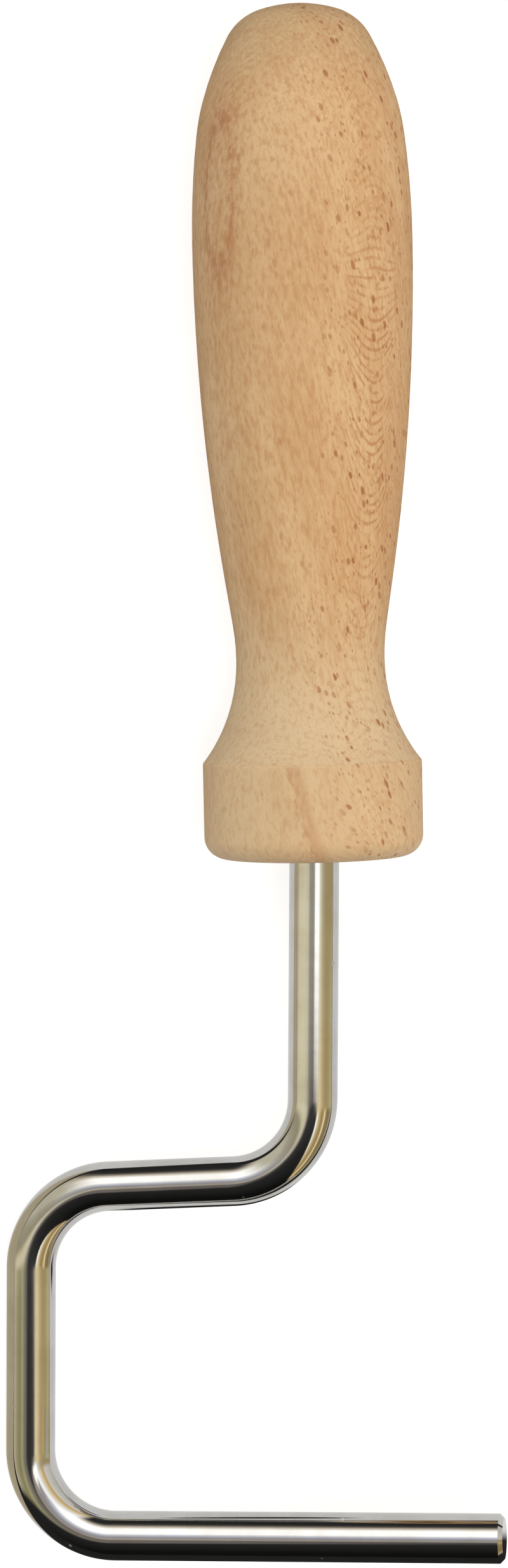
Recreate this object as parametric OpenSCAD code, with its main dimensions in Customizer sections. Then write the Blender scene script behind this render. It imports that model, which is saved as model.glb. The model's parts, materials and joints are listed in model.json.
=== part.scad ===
// Cranked string winder with a turned wooden handle that spins on a bent steel rod.
// It lies on a table: the handle rests on its belly and collar, the crank on its side leg.
// +Y runs along the handle towards its crown, +X towards the rod's free end, +Z up.
// The origin is at the middle of the footprint, on the table.

/* [Handle] */
// Length of the wooden handle, mouth face to crown
handle_len = 118.3; // [110:0.1:130]
// Radius of the collar and of the belly, which share one resting line
collar_r = 15.3; // [14.5:0.1:17]
// Height of the collar's upper edge above the mouth face
collar_top = 13.6; // [11:0.1:16]
// Width of the small flat that softens the collar's upper edge
collar_edge = 0.25; // [0.1:0.05:0.6]
// Radius of the rounding round the mouth face
mouth_round = 3; // [1:0.5:4]
// Radius of the neck at its thinnest
neck_r = 10.35; // [9.5:0.05:11]
// Height of the thinnest point of the neck above the mouth face
neck_z = 27.6; // [26:0.1:31]
// Radius of the hollow where the neck swells into the belly
neck_hollow_r = 32; // [20:1:50]
// Steepest slope of the swelling between neck and belly, in degrees
waist_angle = 8.9; // [8.6:0.1:9.6]
// Radius of the nearly flat crown
crown_r = 18; // [14:1:24]
// Radius of the turned corner round the crown
corner_r = 7.6; // [6:0.1:8]
// Radius of the shoulder under that corner
shoulder_r = 45; // [38:1:48]
// Radius of the upper belly, where the shoulder runs into it
upper_belly_r = 30; // [24:1:34]

/* [Bent rod] */
// Radius of the steel rod
rod_r = 3.5; // [3:0.1:4]
// Centre-line radius of the three large bends
bend_r = 12; // [10:0.5:14]
// How much thinner than its straight legs bending has drawn the rod, on the radius
bend_thin = 0.01; // [0.005:0.005:0.03]
// Slight set of the shank just below the mouth, in degrees
shank_lean = 1.5; // [0.5:0.5:3]
// Centre-line radius of that slight set
set_r = 60; // [30:5:120]
// Straight length of the shank below the handle
shank_len = 32.5; // [28:0.5:40]
// Turn of the first bend, from the shank into the crossbar, in degrees
shank_bend = 86; // [84:0.5:90]
// Straight length of the crossbar
cross_len = 18; // [14:0.5:26]
// Turn of the second bend, from the crossbar into the side leg, in degrees
side_bend = 86; // [84:0.5:90]
// Straight length of the side leg
side_len = 26; // [20:0.5:34]
// Turn of the third bend, from the side leg into the free bar, in degrees
bar_bend = 92; // [91.5:0.5:94]
// Length of the free bar from the third bend to its end
bar_len = 55.5; // [45:0.5:70]
// Chamfer round the free end of the bar
end_chamfer = 0.6; // [0.2:0.1:1]

/* [Bearing inside the handle] */
// Radius of the blind hole in the handle
hole_r = 6; // [5.8:0.1:6.4]
// Depth of the blind hole from the mouth face to where its cone begins
hole_depth = 96; // [90:1:100]
// Angle of the drill point at the end of the hole, in degrees
drill_angle = 118; // [90:1:140]
// Interference of the pressed bushes in the hole, on the radius
press = 0.02; // [0.01:0.01:0.03]
// Running clearance between the rod and the bushes, on the radius
run_gap = 0.06; // [0.03:0.01:0.09]
// Length of the bush that is pressed in flush with the mouth face
mouth_bush_len = 20; // [16:1:24]
// Length of the bush at the blind end
inner_bush_len = 12; // [10:1:16]
// Thickness of the steel disc that the rod's end bears on
disc_t = 2; // [1:0.5:3]
// End play of the handle on the rod, each way
end_play = 0.3; // [0.2:0.05:0.5]
// Thickness of the washer between the mouth bush and the clip
washer_t = 1; // [0.8:0.1:1.5]
// Outer radius of that washer
washer_r = 5.5; // [5:0.1:5.6]
// Thickness of the retaining clip
clip_t = 0.7; // [0.6:0.1:0.9]
// Outer radius of the retaining clip
clip_r = 5.4; // [5:0.1:5.6]
// Radius at the bottom of the rod's clip groove
groove_r = 2.5; // [2.3:0.1:2.7]
// Side play of the clip in its groove
clip_play = 0.1; // [0.05:0.05:0.2]

/* [Hidden] */
$fn = 96;

// A profile arc is cut into steps that turn and run no more than this
step_turn = 4;
step_run = 3;
// Overshoot of a cutting tool beyond the face that it opens
cut = 1;

// Angles, in degrees, at which the crown's arcs end: 0 lies across the axis, 90 along it
crown_end = 18;
corner_end = 62;
shoulder_end = 74;
upper_belly_end = 83;
along = 90;

// Points of an arc that leaves point p while its tangent turns from angle a to angle b.
// A negative radius gives a hollow.
function arc(p, radius, a, b) =
    let (steps = max(ceil(abs(b - a) / step_turn), ceil(abs(radius * (b - a)) * PI / 180 / step_run)))
    [for (i = [1:steps])
        let (t = a + (b - a) * i / steps)
        p + radius * [sin(t) - sin(a), cos(t) - cos(a)]];

// Points of tangent arcs in a row, each given as [radius, angle at its end]
function arcs(p, a, list, i = 0) =
    i == len(list) ? [] :
    let (points = arc(p, list[i][0], a, list[i][1]))
    concat(points, arcs(points[len(points) - 1], list[i][1], list, i + 1));

// The last crown arc has the radius that brings the outline to the collar's radius
crown = arcs([0, handle_len], 0, [
    [crown_r, crown_end], [corner_r, corner_end],
    [shoulder_r, shoulder_end], [upper_belly_r, upper_belly_end]
]);
crown_foot = crown[len(crown) - 1];
belly_r = (collar_r - crown_foot[0]) / (1 - sin(upper_belly_end));
belly = arc(crown_foot, belly_r, upper_belly_end, along);
belly_point = belly[len(belly) - 1];

// Between belly and neck two arcs join a straight slope; their radii add up to waist_sum
waist_dr = collar_r - neck_r;
waist_dz = belly_point[1] - neck_z;
waist_sum = (waist_dz * sin(waist_angle) - waist_dr * cos(waist_angle)) / (1 - cos(waist_angle));
waist_run = waist_dr / (1 - cos(waist_angle)) * sin(waist_angle) - waist_dz;
waist_tilt = along + waist_angle;
lower_belly = arc(belly_point, waist_sum - neck_hollow_r, along, waist_tilt);
slope_top = lower_belly[len(lower_belly) - 1];
slope_foot = slope_top + waist_run * [cos(waist_tilt), -sin(waist_tilt)];

// The flare is one hollow arc from the thinnest point down to the collar's upper edge
flare_dr = collar_r - collar_edge - neck_r;
flare_dz = neck_z - collar_top;
flare_r = (flare_dz * flare_dz + flare_dr * flare_dr) / (2 * flare_dr);
flare = arcs(slope_foot, waist_tilt, [
    [-neck_hollow_r, along], [-flare_r, along - asin(flare_dz / flare_r)]
]);

// The cone of the drill point and the axial stack inside the handle, all above the mouth face
drill_tip = hole_r / tan(drill_angle / 2);
washer_z = mouth_bush_len + end_play;
clip_z = washer_z + washer_t;
disc_z = hole_depth - disc_t;
inner_bush_z = disc_z - inner_bush_len;
tip_z = disc_z - end_play;
tip_chamfer = 1;
bush_r = rod_r + run_gap;

// The clip: the ring's inner radius, the width of its mouth and of its three lobes
clip_ring_r = 3.9;
clip_mouth = 4.6;
clip_lobe = 2.2;
clip_lobe_angles = [0, 105, 255];
disc_gap = 0.1;

// Headings of the rod's legs, in degrees from straight down the axis towards the side leg
shank_a = shank_lean;
cross_a = shank_a + shank_bend;
side_a = cross_a - side_bend;
bar_a = side_a - bar_bend;

// A step along a heading, and a turn from heading a to heading b, in the crank's plane
function ahead(length, a) = length * [-sin(a), -cos(a)];
function turned(radius, a, b) = sign(b - a) * radius * [cos(b) - cos(a), sin(a) - sin(b)];

side_foot = turned(set_r, 0, shank_a) + ahead(shank_len, shank_a)
    + turned(bend_r, shank_a, cross_a) + ahead(cross_len, cross_a)
    + turned(bend_r, cross_a, side_a) + ahead(side_len, side_a);
bar_end = side_foot + turned(bend_r, side_a, bar_a) + ahead(bar_len, bar_a);
// The centre line's furthest points: outwards at the side leg and downwards at the free bar
side_reach = -(side_foot + turned(bend_r, side_a, 0))[0];
bar_reach = -(side_foot + turned(bend_r, side_a, -along))[1];

// The crank has swung about the handle's axis until its side leg touches the table
crank_tilt = asin((collar_r - rod_r) / side_reach);
mid_x = (bar_end[0] * cos(crank_tilt) + (rod_r - end_chamfer) * sin(crank_tilt)
    - side_reach * cos(crank_tilt) - rod_r) / 2;
mid_y = (handle_len - bar_reach - rod_r) / 2;

// Lays down what is drawn with the handle's axis along +Z and its mouth face at zero
module lying() {
    translate([-mid_x, -mid_y, collar_r]) rotate([-90, 0, 0]) children();
}

module lying_crank() {
    lying() rotate([0, 0, -crank_tilt]) children();
}

// A straight length of rod down from here, and what follows at its foot
module leg(length) {
    translate([0, 0, -length]) {
        cylinder(r = rod_r, h = length);
        children();
    }
}

// A bend of the rod towards the side leg, or away from it if the angle is negative
module bend(radius, angle) {
    side = sign(angle);
    mirror([side < 0 ? 1 : 0, 0, 0]) translate([-radius, 0, 0]) rotate([-90, 0, 0])
        rotate_extrude(angle = abs(angle)) translate([radius, 0]) circle(r = rod_r - bend_thin);
    translate([-side * radius, 0, 0]) rotate([0, angle, 0]) translate([side * radius, 0, 0])
        children();
}

module free_end() {
    translate([0, 0, -end_chamfer])
        cylinder(r1 = rod_r - end_chamfer, r2 = rod_r, h = end_chamfer);
}

// The rod inside the handle, with the groove for the clip and a chamfered tip
module rod_in_handle() {
    difference() {
        union() {
            cylinder(r = rod_r, h = tip_z - tip_chamfer);
            translate([0, 0, tip_z - tip_chamfer])
                cylinder(r1 = rod_r, r2 = rod_r - tip_chamfer, h = tip_chamfer);
        }
        translate([0, 0, clip_z - clip_play]) difference() {
            cylinder(r = rod_r + cut, h = clip_t + 2 * clip_play);
            cylinder(r = groove_r, h = clip_t + 2 * clip_play);
        }
    }
}

module crank_rod() {
    color("silver") lying_crank() {
        rod_in_handle();
        bend(set_r, shank_lean) leg(shank_len)
            bend(bend_r, shank_bend) leg(cross_len)
            bend(bend_r, -side_bend) leg(side_len)
            bend(bend_r, -bar_bend) leg(bar_len - end_chamfer) free_end();
    }
}

module ring(outer_r, inner_r, height) {
    difference() {
        cylinder(r = outer_r, h = height);
        translate([0, 0, -cut]) cylinder(r = inner_r, h = height + 2 * cut);
    }
}

// The open ring has three lobes that reach the bottom of the rod's groove
module retaining_clip() {
    color("dimgray") lying_crank() translate([0, 0, clip_z]) linear_extrude(clip_t) difference() {
        union() {
            difference() {
                circle(r = clip_r);
                circle(r = clip_ring_r);
                translate([-clip_r - cut, -clip_mouth / 2]) square([clip_r + cut, clip_mouth]);
            }
            for (a = clip_lobe_angles) rotate(a)
                translate([0, -clip_lobe / 2]) square([clip_ring_r + cut / 2, clip_lobe]);
        }
        circle(r = groove_r);
    }
}

module thrust_washer() {
    color("lightgray") lying_crank() translate([0, 0, washer_z])
        ring(washer_r, bush_r, washer_t);
}

module handle_grip() {
    color("burlywood") lying() difference() {
        rotate_extrude() polygon(concat(
            [[0, handle_len]], crown, belly, lower_belly, [slope_foot], flare,
            [[collar_r, collar_top - collar_edge], [collar_r, mouth_round]],
            arc([collar_r, mouth_round], mouth_round, along, 2 * along),
            [[0, 0]]
        ));
        translate([0, 0, -cut]) cylinder(r = hole_r, h = hole_depth + cut);
        translate([0, 0, hole_depth]) cylinder(r1 = hole_r, r2 = 0, h = drill_tip);
    }
}

module mouth_bush() {
    color("goldenrod") lying() ring(hole_r + press, bush_r, mouth_bush_len);
}

module inner_bush() {
    color("goldenrod") lying() translate([0, 0, inner_bush_z])
        ring(hole_r + press, bush_r, inner_bush_len);
}

module thrust_disc() {
    color("gray") lying() translate([0, 0, disc_z]) cylinder(r = hole_r - disc_gap, h = disc_t);
}

crank_rod();
retaining_clip();
thrust_washer();
handle_grip();
mouth_bush();
inner_bush();
thrust_disc();
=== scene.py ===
"""Looks of the cranked string winder: turned beech handle on a bent, bright-plated steel rod."""
import json
import math

import bpy
import numpy as np
from mathutils import Matrix, Vector


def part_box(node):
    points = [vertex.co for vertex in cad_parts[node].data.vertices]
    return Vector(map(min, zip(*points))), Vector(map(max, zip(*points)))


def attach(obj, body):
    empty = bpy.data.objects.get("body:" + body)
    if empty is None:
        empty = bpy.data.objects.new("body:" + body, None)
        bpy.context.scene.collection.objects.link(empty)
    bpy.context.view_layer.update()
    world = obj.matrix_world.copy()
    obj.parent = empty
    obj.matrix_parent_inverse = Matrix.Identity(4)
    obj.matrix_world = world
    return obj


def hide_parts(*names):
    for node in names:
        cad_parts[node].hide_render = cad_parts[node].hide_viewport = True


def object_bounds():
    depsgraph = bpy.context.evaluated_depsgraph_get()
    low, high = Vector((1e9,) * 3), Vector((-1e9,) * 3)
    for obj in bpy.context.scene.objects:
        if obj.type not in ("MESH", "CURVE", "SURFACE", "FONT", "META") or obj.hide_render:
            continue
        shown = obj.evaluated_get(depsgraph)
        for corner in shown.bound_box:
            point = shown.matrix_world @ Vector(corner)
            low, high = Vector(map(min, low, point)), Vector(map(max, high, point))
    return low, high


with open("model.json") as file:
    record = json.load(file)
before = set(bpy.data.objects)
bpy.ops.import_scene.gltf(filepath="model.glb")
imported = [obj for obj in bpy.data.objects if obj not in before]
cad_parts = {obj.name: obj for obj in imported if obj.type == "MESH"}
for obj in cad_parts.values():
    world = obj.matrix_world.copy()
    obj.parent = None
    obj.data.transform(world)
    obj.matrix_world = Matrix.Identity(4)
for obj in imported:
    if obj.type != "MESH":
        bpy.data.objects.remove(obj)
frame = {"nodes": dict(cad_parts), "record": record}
cad_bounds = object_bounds()

MM = 0.001

# The rod's route below the handle, in millimetres and degrees, as the CAD model has it
ROD_R = 3.5
BEND_R = 12
SET_R = 60
SHANK_LEAN = 1.5
SHANK_LEN = 32.5
SHANK_BEND = 86
CROSS_LEN = 18
SIDE_BEND = 86
SIDE_LEN = 26
BAR_BEND = 92
BAR_LEN = 55.5
END_CHAMFER = 0.6

# The CAD model's bends are this much thinner, on the radius, only to keep its STEP file a valid solid;
# no thinning was measured
BEND_THIN = 0.01

# The rod inside the handle: the clip's groove and the chamfered tip, above the mouth face
GROOVE_LOW = 21.2
GROOVE_HIGH = 22.1
GROOVE_R = 2.5
TIP_Z = 93.7
TIP_CHAMFER = 1

# Height of the collar's upper edge above the mouth face
COLLAR_TOP = 13.6

# Facets of the finished meshes: sides round the handle and the rod, steps along them, and rounded edges
HANDLE_SIDES = 192
ROD_SIDES = 72
OUTLINE_STEP = 0.6
LEG_STEP = 3.9
BEND_STEP = 1.5
EDGE_REACH = 0.3
EDGE_TURN = math.radians(7)
SHARP_TURN = math.radians(24)

record = frame["record"]
spin = record["behaviour"]["joints"][0]
AXIS_X, _, AXIS_Z = spin["pos_m"]
bar_axis = record["mounts"][0]["axis"]
CRANK_TILT = math.atan2(bar_axis[2], bar_axis[0])
BAR_Y = record["mounts"][0]["pos_m"][1]
MOUTH_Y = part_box("handle_grip")[0].y
CROWN_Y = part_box("handle_grip")[1].y


# ---------------------------------------------------------------- meshes

def mesh_piece(name, rings, close_start, close_end):
    """A piece skinned over rings of points; each end is closed with a fan round a centre."""
    count = len(rings[0])
    points = [p for ring in rings for p in ring]
    faces = []
    for i in range(len(rings) - 1):
        low, high = i * count, (i + 1) * count
        for j in range(count):
            k = (j + 1) % count
            faces.append((low + j, low + k, high + k, high + j))
    for centre, first, flip in ((close_start, 0, True), (close_end, len(points) - count, False)):
        points.append(centre)
        for j in range(count):
            corner = (first + j, first + (j + 1) % count)
            faces.append((*(reversed(corner) if flip else corner), len(points) - 1))
    mesh = bpy.data.meshes.new(name)
    mesh.from_pydata([tuple(p) for p in points], [], faces)
    mesh.update()
    mesh.shade_smooth()
    mesh.set_sharp_from_angle(angle=SHARP_TURN)
    piece = bpy.data.objects.new(name, mesh)
    bpy.context.scene.collection.objects.link(piece)
    return piece


def smooth_run(points, step):
    """Points on a curve through the given points, no further apart than step."""
    tiny = 1e-9
    out = [points[0]]
    for i in range(len(points) - 1):
        p1, p2 = points[i], points[i + 1]
        p0 = points[i - 1] if i else 2 * p1 - p2
        p3 = points[i + 2] if i + 2 < len(points) else 2 * p2 - p1
        span = (p2 - p1).length
        tangent_1 = (p2 - p0) * (span / max((p2 - p0).length, tiny))
        tangent_2 = (p3 - p1) * (span / max((p3 - p1).length, tiny))
        parts = max(1, math.ceil(span / step))
        for k in range(1, parts + 1):
            t = k / parts
            out.append((2 * t**3 - 3 * t**2 + 1) * p1 + (t**3 - 2 * t**2 + t) * tangent_1
                       + (3 * t**2 - 2 * t**3) * p2 + (t**3 - t**2) * tangent_2)
    return out


def handle_outline():
    """Radius and height of the handle's outside, crown to mouth, and of its hole, from the CAD handle."""
    digits = 5
    near = 0.1 * MM
    crown_part = 10 * MM
    found = set()
    for v in frame["nodes"]["handle_grip"].data.vertices:
        r = math.hypot(v.co.x - AXIS_X, v.co.z - AXIS_Z)
        found.add((round(r, digits), round(v.co.y, digits)))
    hole_r = min(r for r, y in found if abs(y - MOUTH_Y) < near)
    bore = sorted((p for p in found if p[0] < hole_r + near / 2 and p[1] < CROWN_Y - crown_part),
                  key=lambda p: p[1])
    # from the top down; at one height, outwards over the crown and inwards over the mouth face
    outer = sorted((p for p in found if p not in bore), key=lambda p: (-p[1], p[0] if p[1] > 0 else -p[0]))
    return [Vector(p) for p in outer], [Vector(p) for p in bore]


def corner_turn(a, b, c):
    """How far a line turns at b, on its way from a to c."""
    return (b - a).angle(c - b) if (b - a).length > 0 and (c - b).length > 0 else 0


def rounded(points, reach, limit):
    """The line with each corner that turns more than limit replaced by a small curve."""
    out = [points[0]]
    for a, b, c in zip(points, points[1:], points[2:]):
        if corner_turn(a, b, c) < limit:
            out.append(b)
            continue
        start = b + (a - b).normalized() * min(reach, (a - b).length / 2)
        end = b + (c - b).normalized() * min(reach, (c - b).length / 2)
        out += [(1 - t)**2 * start + 2 * t * (1 - t) * b + t**2 * end for t in (0, 0.25, 0.5, 0.75, 1)]
    return out + [points[-1]]


def make_handle():
    """The turned handle: the CAD outline, smoothed between its edges and rounded a little at them."""
    on_axis = 0.01 * MM
    outer, bore = handle_outline()
    runs, run = [], [outer[0]]
    for a, b, c in zip(outer, outer[1:], outer[2:]):
        run.append(b)
        if corner_turn(a, b, c) > EDGE_TURN:
            runs.append(run)
            run = [b]
    runs.append(run + [outer[-1]])
    line = []
    for run in runs:
        line += smooth_run(run, OUTLINE_STEP * MM)[1 if line else 0:]
    line = rounded(line, EDGE_REACH * MM, EDGE_TURN)
    line = [p for p in line if p.x > on_axis] + bore[:-1]
    rings = []
    for r, y in line:
        rings.append([Vector((AXIS_X + r * math.cos(a), y, AXIS_Z + r * math.sin(a)))
                      for a in np.linspace(0, 2 * math.pi, HANDLE_SIDES, endpoint=False)])
    crown = Vector((AXIS_X, CROWN_Y, AXIS_Z))
    tip = Vector((AXIS_X, bore[-1].y, AXIS_Z))
    handle = mesh_piece("turned_handle", rings, crown, tip)
    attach(handle, "handle")
    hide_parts("handle_grip")
    return handle


def rod_stations():
    """(u, w, heading, radius) down the rod, in millimetres in the crank's plane, from its tip."""
    stations = [(0, TIP_Z, 0, ROD_R - TIP_CHAMFER), (0, TIP_Z - TIP_CHAMFER, 0, ROD_R)]
    groove = ((GROOVE_HIGH, ROD_R), (GROOVE_HIGH, GROOVE_R), (GROOVE_LOW, GROOVE_R), (GROOVE_LOW, ROD_R))
    for w, r in groove:
        stations.append((0, w, 0, r))
    stations.append((0, 0, 0, ROD_R))
    u, w, heading = 0, 0, 0

    def leg(length):
        nonlocal u, w
        parts = max(1, round(length / LEG_STEP))
        for _ in range(parts):
            u -= math.sin(heading) * length / parts
            w -= math.cos(heading) * length / parts
            stations.append((u, w, heading, ROD_R))

    def bend(radius, degrees):
        nonlocal u, w, heading
        fewest = 4
        parts = max(fewest, round(abs(degrees) / BEND_STEP))
        turn = math.radians(degrees) / parts
        chord = 2 * radius * math.sin(abs(turn) / 2)
        for i in range(1, parts + 1):
            u -= math.sin(heading + turn / 2) * chord
            w -= math.cos(heading + turn / 2) * chord
            heading += turn
            # it is thinned over the first quarter of the bend, and thickens again over the last
            thin = BEND_THIN * min(1, 4 * i / parts, 4 * (parts - i) / parts)
            stations.append((u, w, heading, ROD_R - thin))

    bend(SET_R, SHANK_LEAN)
    leg(SHANK_LEN)
    bend(BEND_R, SHANK_BEND)
    leg(CROSS_LEN)
    bend(BEND_R, -SIDE_BEND)
    leg(SIDE_LEN)
    bend(BEND_R, -BAR_BEND)
    leg(BAR_LEN - END_CHAMFER)
    leg(END_CHAMFER)
    u, w, heading, _ = stations.pop()
    stations.append((u, w, heading, ROD_R - END_CHAMFER))
    return stations


def make_rod():
    """The bent rod: rings square to its route, in the tipped plane that holds it and the handle's axis."""
    along = Vector((math.cos(CRANK_TILT), 0, math.sin(CRANK_TILT)))
    out = Vector((-math.sin(CRANK_TILT), 0, math.cos(CRANK_TILT)))
    up = Vector((0, 1, 0))
    foot = Vector((AXIS_X, MOUTH_Y, AXIS_Z))
    rings, centres = [], []
    for u, w, heading, radius in rod_stations():
        centre = foot + (u * along + w * up) * MM
        across = math.cos(heading) * along - math.sin(heading) * up
        rings.append([centre + (math.cos(a) * across + math.sin(a) * out) * radius * MM
                      for a in np.linspace(0, 2 * math.pi, ROD_SIDES, endpoint=False)])
        centres.append(centre)
    rod = mesh_piece("bent_rod", rings, centres[0], centres[-1])
    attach(rod, "crank")
    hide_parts("crank_rod")
    return rod


# ---------------------------------------------------------------- node helpers

def linear(r, g, b):
    """Scene-linear colour from 0-255 display values, by the sRGB curve."""
    def one(c):
        c /= 255
        return c / 12.92 if c <= 0.04045 else ((c + 0.055) / 1.055) ** 2.4
    return (one(r), one(g), one(b), 1)


def grey(value):
    """A grey by its 0-255 display value."""
    return linear(value, value, value)


def level(value):
    """A scene-linear grey, or a plain number for a ramp to carry."""
    return (value, value, value, 1)


def add(tree, kind, inputs=None, **settings):
    """A node with its settings; each input is a value, a socket, or a node whose first output is used."""
    node = tree.nodes.new("ShaderNode" + kind)
    for key, value in settings.items():
        setattr(node, key, value)
    for key, value in (inputs or {}).items():
        socket = node.inputs[key]
        if isinstance(value, bpy.types.Node):
            value = value.outputs[0]
        if isinstance(value, bpy.types.NodeSocket):
            tree.links.new(value, socket)
        else:
            socket.default_value = value
    return node


def maths(tree, operation, a, b=0.0, c=0.0):
    return add(tree, "Math", {0: a, 1: b, 2: c}, operation=operation)


def product(tree, *values):
    """All the values multiplied together."""
    total = values[0]
    for value in values[1:]:
        total = maths(tree, "MULTIPLY", total, value)
    return total


def hypotenuse(tree, a, b):
    return maths(tree, "SQRT", maths(tree, "ADD", product(tree, a, a), product(tree, b, b)))


def vector_maths(tree, operation, a, b):
    return add(tree, "VectorMath", {0: a, 1: b}, operation=operation)


def remap(tree, value, low, high, to_low=0.0, to_high=1.0, smooth=True):
    """The value's run from low to high turned into one from to_low to to_high, and held beyond the ends."""
    inputs = {"Value": value, "From Min": low, "From Max": high, "To Min": to_low, "To Max": to_high}
    return add(tree, "MapRange", inputs, interpolation_type="SMOOTHSTEP" if smooth else "LINEAR")


def blend(tree, share, a, b):
    """Colour a with a share of colour b."""
    return add(tree, "Mix", {0: share, 6: a, 7: b}, data_type="RGBA").outputs[2]


def ramp(tree, value, stops):
    """A colour ramp with (place, colour) stops."""
    node = add(tree, "ValToRGB", {0: value})
    elements = node.color_ramp.elements
    while len(elements) > 1:
        elements.remove(elements[-1])
    for i, (place, colour) in enumerate(stops):
        element = elements[0] if i == 0 else elements.new(place)
        element.position = place
        element.color = colour
    return node


def material(name):
    """A new material and its empty node tree."""
    made = bpy.data.materials.new(name)
    made.use_nodes = True
    made.node_tree.nodes.clear()
    return made, made.node_tree


def output(tree, shader):
    add(tree, "OutputMaterial", {"Surface": shader})


# ---------------------------------------------------------------- materials

def beech():
    """Turned, bare beech: stacked ring arcs, short fibre streaks, ray flecks and one darker flame."""
    made, tree = material("beech_turned")
    where = add(tree, "TexCoord").outputs["Object"]
    placed = add(tree, "Mapping", {"Vector": where, "Location": (-AXIS_X, -MOUTH_Y, -AXIS_Z)})
    scaled = vector_maths(tree, "MULTIPLY", placed, (1 / MM, 1 / MM, 1 / MM))

    def facing(degrees):
        """The place in the handle, in millimetres, seen with this side of it turned upwards."""
        turned = add(tree, "VectorRotate",
                     {"Vector": scaled, "Axis": (0, 1, 0), "Angle": -math.radians(degrees)},
                     rotation_type="AXIS_ANGLE")
        return add(tree, "SeparateXYZ", {0: turned}).outputs

    # t runs along the rings, l up the handle from its mouth, and r out from the pith, which lies behind
    # the handle and 3 degrees off its axis
    flat_side = 33
    pith_depth = 20.5
    pith_lean = -0.052
    t, l, depth = facing(flat_side)
    slow = vector_maths(tree, "MULTIPLY", scaled, (0.03, 0.012, 0.03))
    sway = add(tree, "TexNoise", {"Vector": slow, "Scale": 1.0, "Detail": 2.0})
    back = maths(tree, "MULTIPLY_ADD", l, pith_lean, maths(tree, "ADD", depth, pith_depth))
    back = maths(tree, "MULTIPLY_ADD", sway, 1.6, back)
    r = hypotenuse(tree, back, t)

    # the fibres lean a little across the handle, and more in the flat-sawn part of the collar
    fibre_lean = 0.18
    below_edge = maths(tree, "MINIMUM", maths(tree, "SUBTRACT", l, COLLAR_TOP), 0.0)
    slant = product(tree, below_edge, remap(tree, t, -9.0, -3.0, 0.0, 0.25))
    lean = maths(tree, "ADD", slant, maths(tree, "MULTIPLY_ADD", l, fibre_lean, t))
    grain = add(tree, "CombineXYZ", {0: lean, 1: l, 2: r})

    def layered(scales, seed, detail=2.0, roughness=0.5):
        """Noise stretched along the rings and the fibres; the scales are cells per millimetre."""
        stretched = vector_maths(tree, "MULTIPLY", grain, scales)
        moved = vector_maths(tree, "ADD", stretched, (seed, seed * 0.7, seed * 1.3))
        return add(tree, "TexNoise", {"Vector": moved, "Scale": 1.0, "Detail": detail,
                                      "Roughness": roughness})

    rings = layered((0.02, 0.006, 0.45), 3.1)
    waver = layered((0.35, 0.22, 0.8), 7.7, detail=1.0)
    patchy = layered((0.9, 0.5, 0.9), 17.0, detail=1.0)
    mottle = layered((0.20, 0.035, 0.12), 21.0)
    streaks = layered((2.1, 0.48, 2.1), 12.3, roughness=0.6)
    fine_streaks = layered((4.2, 1.0, 4.2), 41.0, detail=1.0)
    fibres = layered((5.0, 0.9, 5.0), 31.0)

    # the rings' edges are stacked arcs, which open upwards on the lower belly and downwards on the flare
    # and near the crown; they are broken, and fade out round the handle and towards both its ends
    arc_gap = 1.4
    opening = maths(tree, "ADD", remap(tree, l, 23.0, 34.0, -0.48, 0.0),
                    remap(tree, l, 62.0, 98.0, 0.34, -0.30))
    arched = product(tree, opening, product(tree, t, t))
    count = maths(tree, "MULTIPLY", maths(tree, "SUBTRACT", l, arched), 2 * math.pi / arc_gap)
    arcs = maths(tree, "SINE", maths(tree, "MULTIPLY_ADD", waver, 5.0, count))
    flat_sawn = product(tree, remap(tree, maths(tree, "ABSOLUTE", t), 6.0, 2.0),
                        remap(tree, patchy, 0.38, 0.62, 0.10, 1.0),
                        remap(tree, l, 92.0, 74.0, 0.40, 1.0), remap(tree, l, 24.0, 50.0, 0.28, 1.0))

    def flecks(scales, share, seed):
        """Ends of the rays: dark spindles, thin along the rings, taller along the fibres."""
        smallest = 0.14
        largest = 0.42
        wobble = add(tree, "TexNoise", {"Vector": grain, "Scale": 0.9, "Detail": 1.0})
        shift = vector_maths(tree, "MULTIPLY", wobble.outputs["Color"], (0.35, 0.35, 0.35))
        moved = vector_maths(tree, "ADD", shift, (seed, seed, seed))
        spot = vector_maths(tree, "ADD", vector_maths(tree, "MULTIPLY", grain, scales), moved)
        cells = add(tree, "TexVoronoi", {"Vector": spot, "Scale": 1.0, "Randomness": 1.0})
        red, green, _ = add(tree, "SeparateColor", {0: cells.outputs["Color"]}).outputs
        size = remap(tree, red, 1.0 - share, 1.0, smallest, largest, smooth=False)
        inside = maths(tree, "SUBTRACT", size, cells.outputs["Distance"])
        there = maths(tree, "GREATER_THAN", red, 1.0 - share)
        strength = product(tree, there, remap(tree, green, 0.0, 1.0, 0.25, 1.0))
        return product(tree, remap(tree, inside, -0.08, 0.10), strength)

    large = flecks((1.25, 0.62, 1.0), 0.46, 0.0)
    small = flecks((2.6, 1.2, 1.6), 0.50, 9.0)
    # the ray ends are thick on the flat-sawn side and thin out round the other
    rayed = remap(tree, t, -10.0, -4.0, 0.22, 1.0)

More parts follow.
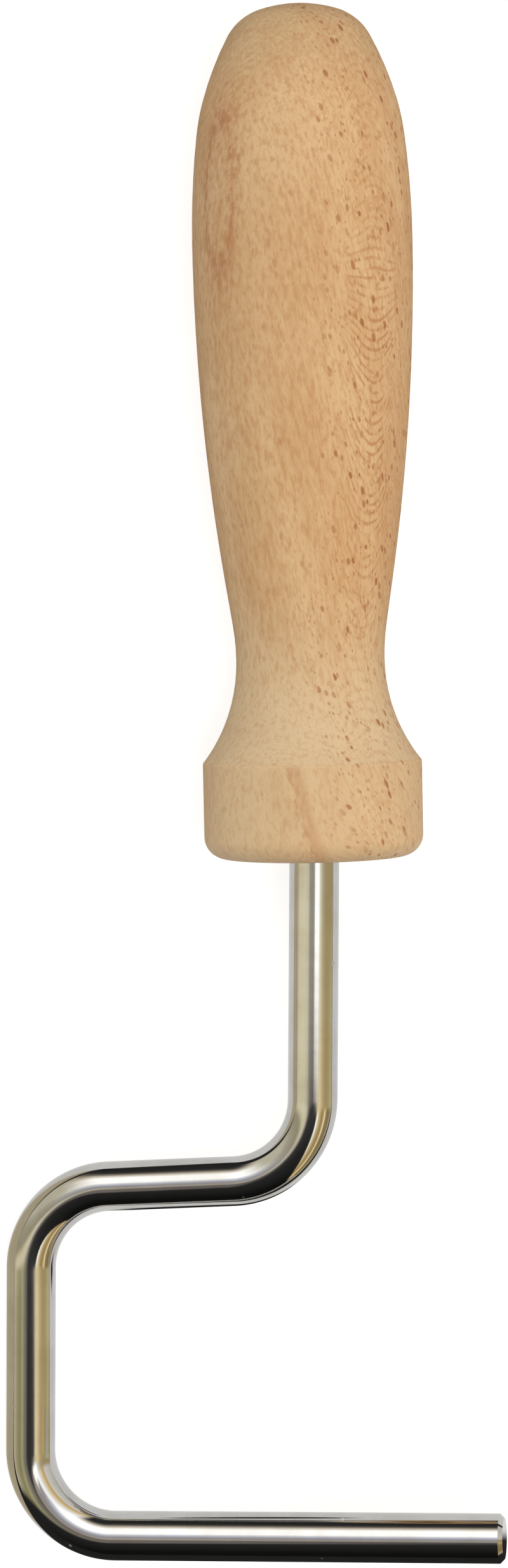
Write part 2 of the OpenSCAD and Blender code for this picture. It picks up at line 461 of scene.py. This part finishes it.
    # the flame: a long loop of darker, redder wood on the crank's side of the belly
    flame_side = -56
    flame_height = 91.5
    flame_half_width = 3.4
    flame_half_length = 12.5
    across, up, _ = facing(flame_side)
    swayed = maths(tree, "MULTIPLY_ADD", sway, 2.0, maths(tree, "ADD", across, -1.0))
    flame_x = maths(tree, "DIVIDE", swayed, flame_half_width)
    flame_y = maths(tree, "DIVIDE", maths(tree, "ADD", up, -flame_height), flame_half_length)
    flame = ramp(tree, maths(tree, "MULTIPLY", hypotenuse(tree, flame_x, flame_y), 0.5), [
        (0.0, level(0.24)), (0.30, level(0.30)), (0.41, level(0.9)), (0.52, level(0.35)), (0.75, level(0.0))])
    flame = product(tree, flame, remap(tree, streaks, 0.30, 0.62, 0.35, 1.0))

    # a redder streak slants down the collar
    streak_side = -12
    side, height, _ = facing(streak_side)
    streak = maths(tree, "MULTIPLY_ADD", height, 0.26, maths(tree, "ADD", side, -3.5))
    streak = maths(tree, "ABSOLUTE", maths(tree, "MULTIPLY_ADD", streaks, 3.0, streak))
    streak = product(tree, remap(tree, streak, 1.5, 0.3, 0, 0.32),
                     remap(tree, height, COLLAR_TOP + 0.2, COLLAR_TOP - 0.4))

    pale = linear(219, 185, 142)
    mid = linear(209, 170, 126)
    warm = linear(193, 144, 98)
    ring_line = linear(178, 118, 74)
    dark = linear(160, 98, 55)
    red = linear(176, 112, 70)
    # painted light: the flare, facing up to the light, is painted paler and greyer; its streaks are fainter
    flare_painted_light = linear(211, 191, 158)
    # painted shade: the crown, turned away from the light, is painted darker and greyer
    crown_painted_shade = linear(182, 160, 124)
    # the painted light's share: rising down the flare towards the collar, and a little less on the collar
    flare = product(tree, remap(tree, l, 42.0, 17.0, 0, 0.72),
                    remap(tree, l, COLLAR_TOP - 0.3, COLLAR_TOP + 0.2, 0.6, 1.0))
    streaked = remap(tree, l, 16.0, 40.0, 0.62, 1.0)
    tone = blend(tree, remap(tree, mottle, 0.35, 0.65), mid, pale)
    for share, colour in (
            (remap(tree, rings, 0.45, 0.65, 0, 0.18), warm),
            # painted light on the flare, then painted shade at the crown
            (flare, flare_painted_light),
            (remap(tree, l, 103.0, 115.0, 0, 0.45), crown_painted_shade),
            (product(tree, remap(tree, streaks, 0.44, 0.70, 0, 0.62), streaked), warm),
            (product(tree, remap(tree, streaks, 0.48, 0.32, 0, 0.40), streaked), pale),
            (product(tree, remap(tree, fine_streaks, 0.48, 0.70, 0, 0.28), streaked), warm),
            (product(tree, remap(tree, arcs, 0.0, 1.0, 0, 0.66), flat_sawn), ring_line),
            (product(tree, flame, 0.75), red),
            (streak, red),
            (product(tree, small, product(tree, rayed, 0.60)), dark),
            (product(tree, large, product(tree, rayed, 0.90)), dark)):
        tone = blend(tree, share, tone, colour)

    relief = maths(tree, "MULTIPLY_ADD", fibres, 0.5, maths(tree, "MULTIPLY", streaks, 0.6))
    relief = maths(tree, "MULTIPLY_ADD", large, -0.2, relief)
    bump = add(tree, "Bump", {"Height": relief, "Strength": 0.25, "Distance": 0.1 * MM})
    rough = remap(tree, fibres, 0.3, 0.7, 0.50, 0.62)
    surface = add(tree, "BsdfPrincipled", {"Base Color": tone, "Roughness": rough, "Normal": bump,
                                           "IOR": 1.45, "Specular IOR Level": 0.5})
    output(tree, surface)
    return made


def nickel():
    """Bright nickel plate on drawn rod: a slightly warm mirror with a haze, specks and tiny bright nicks."""
    made, tree = material("bright_nickel")
    where = add(tree, "TexCoord").outputs["Object"]
    haze = add(tree, "TexNoise", {"Vector": where, "Scale": 160.0, "Detail": 4.0, "Roughness": 0.6})
    waves = add(tree, "TexNoise", {"Vector": where, "Scale": 260.0, "Detail": 2.0})

    def spots(place, scale, outside, inside, rarity):
        """Round spots in the few cells whose random number is above the rarity."""
        cells = add(tree, "TexVoronoi", {"Vector": place, "Scale": scale})
        chosen = add(tree, "SeparateColor", {0: cells.outputs["Color"]}).outputs[0]
        return product(tree, remap(tree, cells.outputs["Distance"], outside, inside),
                       maths(tree, "GREATER_THAN", chosen, rarity))

    speck = spots(where, 420.0, 0.16, 0.05, 0.93)
    drawn = vector_maths(tree, "MULTIPLY", where, (230, 140, 230))
    nick = spots(drawn, 1.0, 0.10, 0.04, 0.55)
    colour = blend(tree, remap(tree, haze, 0.35, 0.7), linear(208, 207, 204), linear(200, 197, 191))
    rough = maths(tree, "MULTIPLY_ADD", speck, 0.35, remap(tree, haze, 0.3, 0.75, 0.05, 0.10))
    height = maths(tree, "MULTIPLY_ADD", speck, -1.0, maths(tree, "MULTIPLY", waves, 0.35))
    bump = add(tree, "Bump", {"Height": height, "Strength": 0.12, "Distance": 0.1 * MM})
    metallic = maths(tree, "MULTIPLY_ADD", nick, -0.75, 1.0)
    surface = add(tree, "BsdfPrincipled", {"Base Color": colour, "Roughness": rough, "Normal": bump,
                                           "Metallic": metallic})
    output(tree, surface)
    return made


def turned_metal(name, light, shade, low_rough, high_rough, ring_scale=9000):
    """Turned or stamped metal, with fine rings round the handle's axis and a mottled tarnish."""
    made, tree = material(name)
    where = add(tree, "TexCoord").outputs["Object"]
    placed = add(tree, "Mapping", {"Vector": where, "Location": (-AXIS_X, 0, -AXIS_Z)})
    parts = add(tree, "SeparateXYZ", {0: placed})
    flat = add(tree, "CombineXYZ", {0: parts.outputs[0], 2: parts.outputs[2]})
    radius = add(tree, "VectorMath", {0: flat}, operation="LENGTH").outputs["Value"]
    lathe = add(tree, "CombineXYZ", {0: product(tree, radius, ring_scale),
                                     1: product(tree, parts.outputs[1], ring_scale)})
    lines = add(tree, "TexNoise", {"Vector": lathe, "Scale": 1.0, "Detail": 3.0})
    tarnish = add(tree, "TexNoise", {"Vector": where, "Scale": 300.0, "Detail": 4.0})
    colour = blend(tree, remap(tree, tarnish, 0.35, 0.7), linear(*light), linear(*shade))
    rough = remap(tree, lines, 0.3, 0.7, low_rough, high_rough)
    bump = add(tree, "Bump", {"Height": lines, "Strength": 0.3, "Distance": 0.05 * MM})
    surface = add(tree, "BsdfPrincipled", {"Base Color": colour, "Metallic": 1.0, "Roughness": rough,
                                           "Normal": bump})
    output(tree, surface)
    return made


def paint(piece, look):
    """Gives a new piece its material."""
    piece.data.materials.clear()
    piece.data.materials.append(look)


def repaint(node, look):
    """Gives a CAD node its finished material."""
    for holder in frame["nodes"][node].material_slots:
        holder.material = look


# ---------------------------------------------------------------- floor, light and camera

def make_floor():
    """A floor that looks plain and pale, but that the bright rod mirrors with darker and cream places.

    Those places were fitted to the rod's dark edges in the main view. No real shading was worked out.
    """
    reach = 6
    corners = [(-reach, -reach, 0), (reach, -reach, 0), (reach, reach, 0), (-reach, reach, 0)]
    mesh = bpy.data.meshes.new("floor")
    mesh.from_pydata(corners, [], [(0, 1, 2, 3)])
    floor = bpy.data.objects.new("floor", mesh)
    bpy.context.scene.collection.objects.link(floor)
    made, tree = material("pale_floor")
    x, y, _ = add(tree, "SeparateXYZ", {0: add(tree, "TexCoord").outputs["Object"]}).outputs

    # painted dark reflection: beyond the free bar, under the handle, and an oval in the loop by the crossbar
    beyond_bar = remap(tree, y, BAR_Y - 3.6 * MM, BAR_Y - 5.5 * MM)
    under_handle = remap(tree, y, MOUTH_Y - 3 * MM, MOUTH_Y + 3 * MM)
    oval_x, oval_y = -3 * MM, -65 * MM
    oval_reach_x, oval_reach_y = 15 * MM, 10 * MM
    in_oval_x = maths(tree, "MULTIPLY", maths(tree, "SUBTRACT", x, oval_x), 1 / oval_reach_x)
    in_oval_y = maths(tree, "MULTIPLY", maths(tree, "SUBTRACT", y, oval_y), 1 / oval_reach_y)
    in_oval = maths(tree, "ADD", product(tree, in_oval_x, in_oval_x), product(tree, in_oval_y, in_oval_y))
    darker = maths(tree, "MAXIMUM", beyond_bar,
                   maths(tree, "MAXIMUM", under_handle, remap(tree, in_oval, 1.3, 0.7)))
    # painted reflection: beyond the side leg it is cream
    side_edge = cad_bounds[0][0]
    left = remap(tree, x, side_edge + 2 * MM, side_edge - 2 * MM)
    painted_floor_reflection = blend(tree, left, level(0.80), linear(196, 186, 158))
    painted_floor_reflection = blend(tree, darker, painted_floor_reflection, grey(40))

    # the camera sees it a little brighter than it lights the winder
    ray = add(tree, "LightPath").outputs
    strength = remap(tree, ray["Is Camera Ray"], 0, 1, 0.55, 0.80)
    seen = add(tree, "BsdfPrincipled", {"Base Color": level(0.35), "Roughness": 0.9,
                                        "Specular IOR Level": 0.0, "Emission Color": level(1),
                                        "Emission Strength": strength})
    # the painted reflection: glossy rays see this glow in place of the floor
    glow = add(tree, "Emission", {"Color": painted_floor_reflection, "Strength": 1.0})
    output(tree, add(tree, "MixShader", {0: ray["Is Glossy Ray"], 1: seen, 2: glow}))
    paint(floor, made)


def make_world():
    """What the rod mirrors: a white wall beyond the crown, darkness beyond the foot, warm walls at the sides.

    It isn't a plain studio: its bands were fitted, direction by direction, to the rod in the main view.
    """
    world = bpy.data.worlds.new("studio")
    world.use_nodes = True
    bpy.context.scene.world = world
    tree = world.node_tree
    tree.nodes.clear()
    way = add(tree, "TexCoord").outputs["Generated"]
    x, y, z = add(tree, "SeparateXYZ", {0: way}).outputs
    # how far round from the zenith a direction lies: 0 at left, 0.5 above, 1 at right
    swing = maths(tree, "MULTIPLY_ADD", maths(tree, "ARCTAN2", x, z), 1 / math.pi, 0.5)

    def round_zenith(stops):
        """A ramp with its places in degrees from the zenith, left negative and right positive."""
        return ramp(tree, swing, [(0.5 + degrees / 180, colour) for degrees, colour in stops])

    # the walls that the legs and the shank mirror, and the same lower down, towards the foot
    walls = round_zenith([
        (-88, linear(196, 178, 150)), (-76, linear(222, 213, 184)), (-50, linear(222, 216, 186)),
        (-34, linear(214, 208, 182)), (-25, linear(160, 154, 146)), (-10, linear(158, 151, 138)),
        (-5, linear(190, 186, 176)), (-1, level(1.3)), (13, level(1.4)), (21, linear(230, 227, 212)),
        (35, linear(180, 172, 138)), (50, linear(170, 152, 112)), (78, linear(166, 148, 108)),
        (88, linear(168, 152, 122))])
    low_walls = round_zenith([
        (-88, linear(196, 186, 160)), (-72, linear(160, 154, 118)), (-58, linear(142, 138, 98)),
        (-46, linear(170, 166, 132)), (-34, linear(128, 122, 104)), (-27, linear(114, 107, 105)),
        (-21, grey(58)), (-6, grey(50)), (2, grey(96)), (10, linear(196, 188, 158)),
        (24, linear(236, 216, 168)), (37, linear(200, 178, 136)), (52, linear(172, 153, 108)),
        (66, linear(176, 162, 112)), (80, linear(190, 180, 142))])

    # the wall beyond the crown, which the bars mirror: grey, then white, then dark, and beige at the left
    crown_side = ramp(tree, y, [
        (0.0, linear(154, 150, 152)), (0.12, linear(168, 168, 180)), (0.26, linear(222, 226, 236)),
        (0.36, level(1.3)), (0.66, level(1.3)), (0.76, linear(226, 218, 204)),
        (0.85, linear(124, 116, 104)), (0.90, grey(56)), (0.96, grey(36)), (1.0, grey(60))])
    crown_side = blend(tree, remap(tree, x, -0.47, -0.75, 0, 0.8), crown_side, linear(160, 152, 118))

    # the bends mirror a few gilt streaks at the right, both towards the crown and towards the foot
    crown_glints = round_zenith([
        (8, level(1.3)), (26, linear(228, 225, 216)), (34, linear(230, 200, 142)),
        (43, linear(196, 166, 110)), (52, linear(216, 212, 202)), (80, linear(192, 190, 184))])
    crown_side = blend(tree, remap(tree, x, 0.08, 0.24), crown_side, crown_glints)
    foot_glints = round_zenith([
        (13, grey(56)), (18, level(1.2)), (26, linear(220, 196, 144)), (40, linear(160, 139, 92)),
        (49, linear(186, 160, 106)), (55, linear(255, 240, 206)), (61, linear(160, 138, 92)),
        (75, linear(134, 116, 80)), (88, linear(176, 164, 134))])

    # darkness beyond the foot: nearest above the middle, further off at the left and almost gone at the right
    foot_side = ramp(tree, maths(tree, "MULTIPLY", y, -1.0), [
        (0.15, grey(56)), (0.4, grey(40)), (0.75, grey(30)), (0.9, grey(20)), (1.0, grey(16))])
    edge = ramp(tree, maths(tree, "MULTIPLY_ADD", x, 0.5, 0.5), [
        (0.1, level(0.42)), (0.24, level(0.36)), (0.29, level(0.34)), (0.325, level(0.15)),
        (0.5, level(0.14)), (0.58, level(0.15)), (0.61, level(0.20)), (0.64, level(0.5)),
        (0.69, level(0.9)), (0.9, level(1.0))])
    beyond = maths(tree, "ADD", y, edge)

    room = blend(tree, remap(tree, y, -0.100, -0.158), walls, low_walls)
    towards_foot = product(tree, remap(tree, y, -0.20, -0.28), remap(tree, x, 0.06, 0.14))
    room = blend(tree, towards_foot, room, foot_glints)
    room = blend(tree, remap(tree, y, -0.07, 0.04), room, crown_side)
    room = blend(tree, remap(tree, beyond, 0.03, -0.09), room, foot_side)
    lit = add(tree, "Background", {"Color": room, "Strength": 1.3})
    plain = add(tree, "Background", {"Color": level(0.9), "Strength": 1.0})
    seen = add(tree, "LightPath").outputs["Is Camera Ray"]
    shown = add(tree, "MixShader", {0: seen, 1: lit, 2: plain})
    add(tree, "OutputWorld", {"Surface": shown})


def soft_box(name, place, target, width, height, watts, colour):
    """A rectangular studio light that neither the camera nor the metal sees."""
    data = bpy.data.lights.new(name, "AREA")
    data.shape = "RECTANGLE"
    data.size = width
    data.size_y = height
    data.energy = watts
    data.color = colour
    box = bpy.data.objects.new(name, data)
    bpy.context.scene.collection.objects.link(box)
    box.location = place
    box.rotation_euler = (Vector(target) - Vector(place)).to_track_quat("-Z", "Y").to_euler()
    box.visible_camera = False
    box.visible_glossy = False


def make_camera():
    """The camera looks down on the handle's mouth, a little from the crank's side and from the crown's."""
    distance = 0.650
    shift_left = 8.42 * MM
    shift_up = 10.13 * MM
    aside = CRANK_TILT - math.radians(9.5)
    raised = math.radians(3.3)
    roll = math.radians(-1.15)
    back = Vector((-math.sin(aside) * math.cos(raised), math.sin(raised), math.cos(aside) * math.cos(raised)))
    right = (-back).cross(Vector((0, 1, 0))).normalized()
    up = right.cross(-back)
    rolled_right = math.cos(roll) * right + math.sin(roll) * up
    rolled_up = math.cos(roll) * up - math.sin(roll) * right
    mouth = Vector((AXIS_X, MOUTH_Y, AXIS_Z))
    place = mouth - rolled_right * shift_left + rolled_up * shift_up + back * distance
    data = bpy.data.cameras.new("camera")
    data.lens = 106.76
    data.sensor_width = 36
    camera = bpy.data.objects.new("camera", data)
    bpy.context.scene.collection.objects.link(camera)
    turned = Matrix((rolled_right, rolled_up, back)).transposed().to_4x4()
    camera.matrix_world = Matrix.Translation(place) @ turned
    bpy.context.scene.camera = camera


# ---------------------------------------------------------------- the scene

paint(make_handle(), beech())
paint(make_rod(), nickel())
brass = turned_metal("turned_brass", (224, 190, 118), (196, 160, 92), 0.22, 0.38)
steel = turned_metal("turned_steel", (196, 195, 192), (168, 167, 163), 0.25, 0.42)
spring = turned_metal("spring_steel", (112, 112, 116), (84, 84, 88), 0.3, 0.5, ring_scale=5000)
for node, look in (("mouth_bush", brass), ("inner_bush", brass), ("thrust_washer", steel),
                   ("thrust_disc", steel), ("retaining_clip", spring)):
    repaint(node, look)

make_floor()
make_world()
soft_box("key", place=(0.005, -0.110, 0.65), target=(0.01, -0.01, 0), width=0.20, height=0.17, watts=1.52,
         colour=(1, 1, 1))
soft_box("fill", place=(0.50, 0.05, 0.45), target=(0.01, 0.02, 0.01), width=0.4, height=0.4, watts=0.35,
         colour=(1, 0.97, 0.92))
make_camera()
bpy.context.scene.view_settings.view_transform = "Standard"
